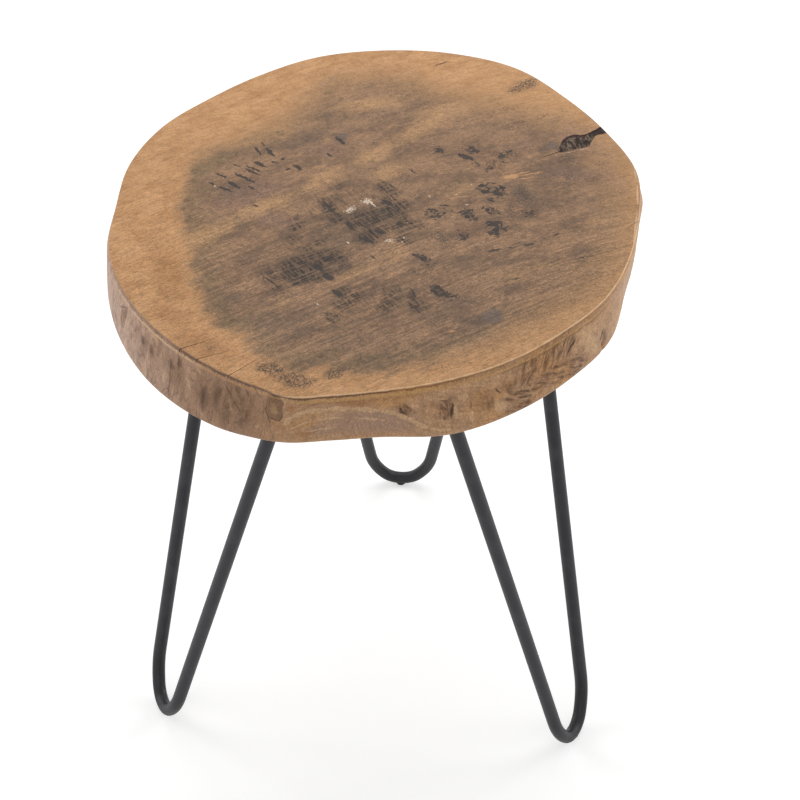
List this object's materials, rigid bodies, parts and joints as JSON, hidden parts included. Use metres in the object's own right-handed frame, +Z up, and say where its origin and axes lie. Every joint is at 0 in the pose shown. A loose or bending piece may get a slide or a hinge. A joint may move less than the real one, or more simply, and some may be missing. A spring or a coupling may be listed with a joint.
{
  "type": "side table",
  "caption": "Low side table: a live-edge round wood slab, split at the rim, on hairpin legs of bent black rod.",
  "frame": {"origin": "centre of the table's outline, on the floor that the feet stand on", "axes": "+Z up from the floor; -Y towards the front, the side that the picture shows nearest; +X to the right seen from the front"},
  "size_m": [0.3609, 0.3777, 0.438],
  "materials": {
    "oiled_wood": "oiled cross-cut hardwood, honey rim and grey-brown heart, satin",
    "black_powder_coat": "satin black powder coat with a fine orange-peel texture",
    "zinc_plated_steel": "bright zinc plate",
    "black_plastic": "matt black plastic"
  },
  "bodies": {
    "root": {"slab_top": "oiled_wood", "front_left_leg_rod": "black_powder_coat", "front_left_mounting_plate": "black_powder_coat", "front_left_weld_beads": "black_powder_coat", "front_left_plate_screws": "zinc_plated_steel", "front_left_foot_glide": "black_plastic", "front_right_leg_rod": "black_powder_coat", "front_right_mounting_plate": "black_powder_coat", "front_right_weld_beads": "black_powder_coat", "front_right_plate_screws": "zinc_plated_steel", "front_right_foot_glide": "black_plastic", "back_leg_rod": "black_powder_coat", "back_mounting_plate": "black_powder_coat", "back_weld_beads": "black_powder_coat", "back_plate_screws": "zinc_plated_steel", "back_foot_glide": "black_plastic"}
  },
  "joints": []
}
